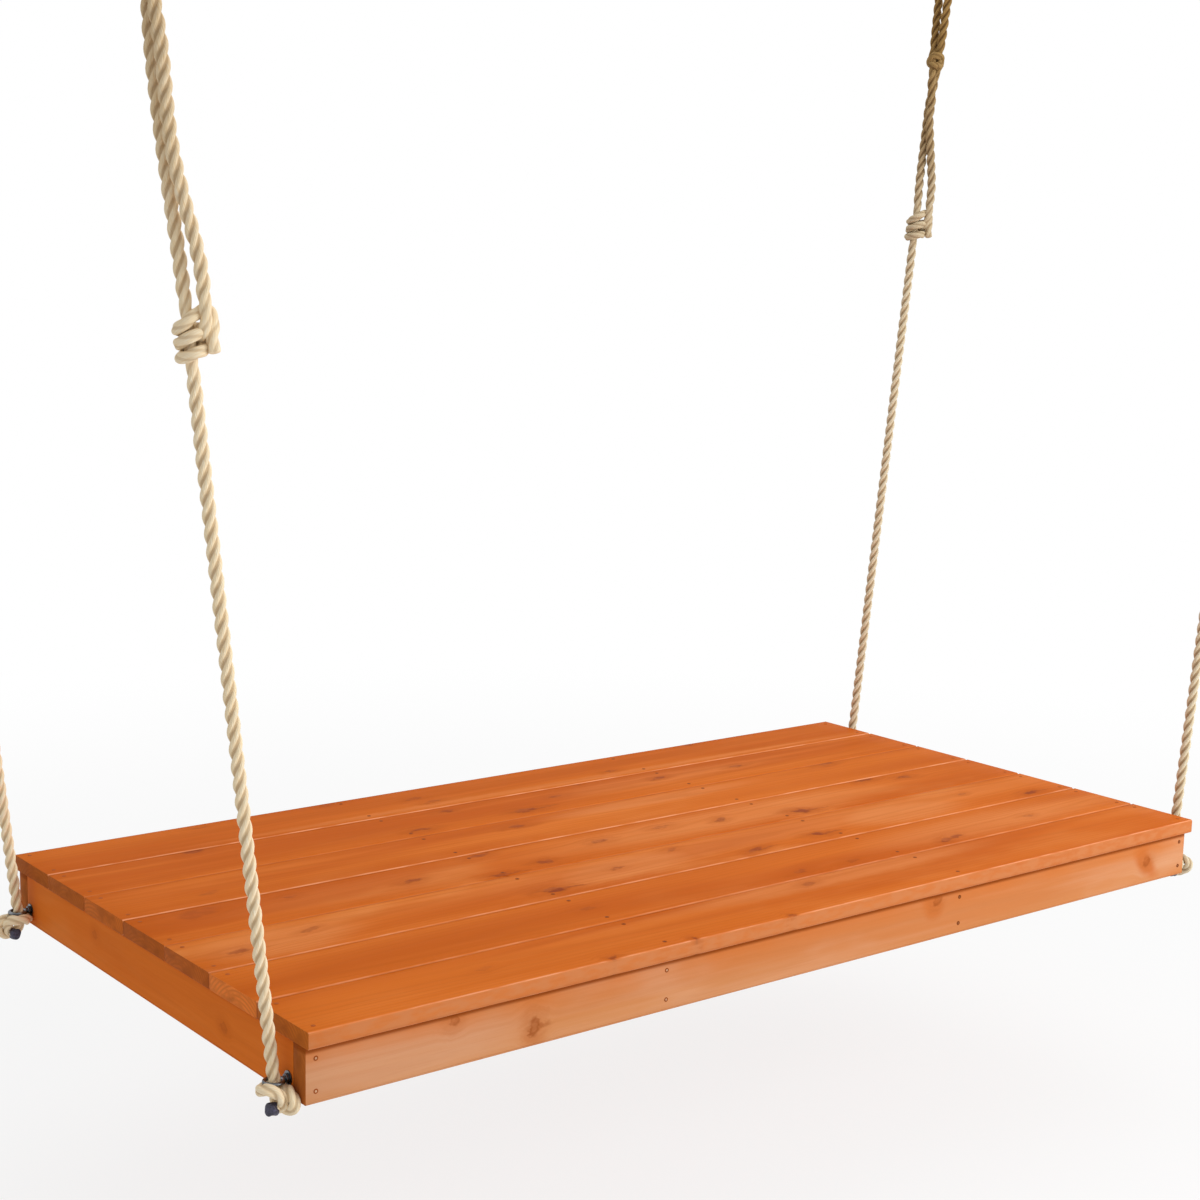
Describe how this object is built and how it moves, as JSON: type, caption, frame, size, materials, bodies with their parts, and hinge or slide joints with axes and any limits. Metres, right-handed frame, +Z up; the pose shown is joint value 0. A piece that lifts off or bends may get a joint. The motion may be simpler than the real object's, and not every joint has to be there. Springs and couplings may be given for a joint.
{
  "type": "porch swing",
  "caption": "Hanging daybed swing: boarded wooden deck on a low rail frame, carried at its corners by adjustable ropes that run up to screw hooks in the ceiling.",
  "frame": {"origin": "the middle of the four hooks, on the ceiling plane their collars meet", "axes": "+X along the deck's length, to the right seen from the front; +Y from the front rail to the rear rail; +Z up, the way the hooks' screws point"},
  "size_m": [2.402, 0.99, 1.8963],
  "materials": {
    "deck_wood": "cedar, orange stain, satin",
    "frame_wood": "cedar, lighter orange stain, satin",
    "rope": "three-strand manila-coloured rope",
    "tape": "dark wrapped tape on the rope's cut end",
    "nails": "plain steel nails",
    "zinc": "bright zinc plate"
  },
  "bodies": {
    "ceiling_hooks": {"hook_front_left": "zinc", "hook_front_right": "zinc", "hook_rear_left": "zinc", "hook_rear_right": "zinc"},
    "front_ropes": {"rope_front_left": "rope", "hitch_front_left": "rope", "loop_front_left": "rope", "link_front_left": "rope", "sling_front_left": "rope", "rope_front_right": "rope", "hitch_front_right": "rope", "loop_front_right": "rope", "link_front_right": "rope", "sling_front_right": "rope"},
    "rear_ropes": {"rope_rear_left": "rope", "hitch_rear_left": "rope", "loop_rear_left": "rope", "link_rear_left": "rope", "sling_rear_left": "rope", "rope_rear_right": "rope", "hitch_rear_right": "rope", "loop_rear_right": "rope", "link_rear_right": "rope", "sling_rear_right": "rope"},
    "platform": {"deck_board_1": "deck_wood", "deck_board_2": "deck_wood", "deck_board_3": "deck_wood", "deck_board_4": "deck_wood", "deck_board_5": "deck_wood", "deck_board_6": "deck_wood", "deck_board_7": "deck_wood", "front_rail": "frame_wood", "rear_rail": "frame_wood", "left_end_rail": "frame_wood", "right_end_rail": "frame_wood", "inner_joist_left": "frame_wood", "inner_joist_right": "frame_wood", "deck_nails": "nails", "rail_nails": "nails", "eye_washers": "zinc", "eye_nuts": "zinc", "eye_bolt_front_left": "zinc", "eye_bolt_front_right": "zinc", "eye_bolt_rear_left": "zinc", "eye_bolt_rear_right": "zinc", "stopper_knot_front_left": "rope", "stopper_knot_front_right": "rope", "stopper_knot_rear_left": "rope", "stopper_knot_rear_right": "rope", "tail_tape_front_left": "tape", "tail_tape_front_right": "tape", "tail_tape_rear_left": "tape", "tail_tape_rear_right": "tape"}
  },
  "joints": [
    {"name": "front_swing", "type": "hinge", "parent": "ceiling_hooks", "child": "front_ropes", "pos_m": [0, -0.437, -0.06184], "axis": [1, 0, 0], "range_deg": [-20, 20]},
    {"name": "rear_swing", "type": "hinge", "parent": "ceiling_hooks", "child": "rear_ropes", "pos_m": [0, 0.437, -0.06184], "axis": [1, 0, 0], "range_deg": [-20, 20]},
    {"name": "platform_level", "type": "hinge", "parent": "front_ropes", "child": "platform", "pos_m": [0, -0.437, -1.7869], "axis": [1, 0, 0], "range_deg": [-20, 20]}
  ],
  "couplings": [
    {"joint": "rear_swing", "follows": "front_swing", "ratio": 1},
    {"joint": "platform_level", "follows": "front_swing", "ratio": -1}
  ]
}
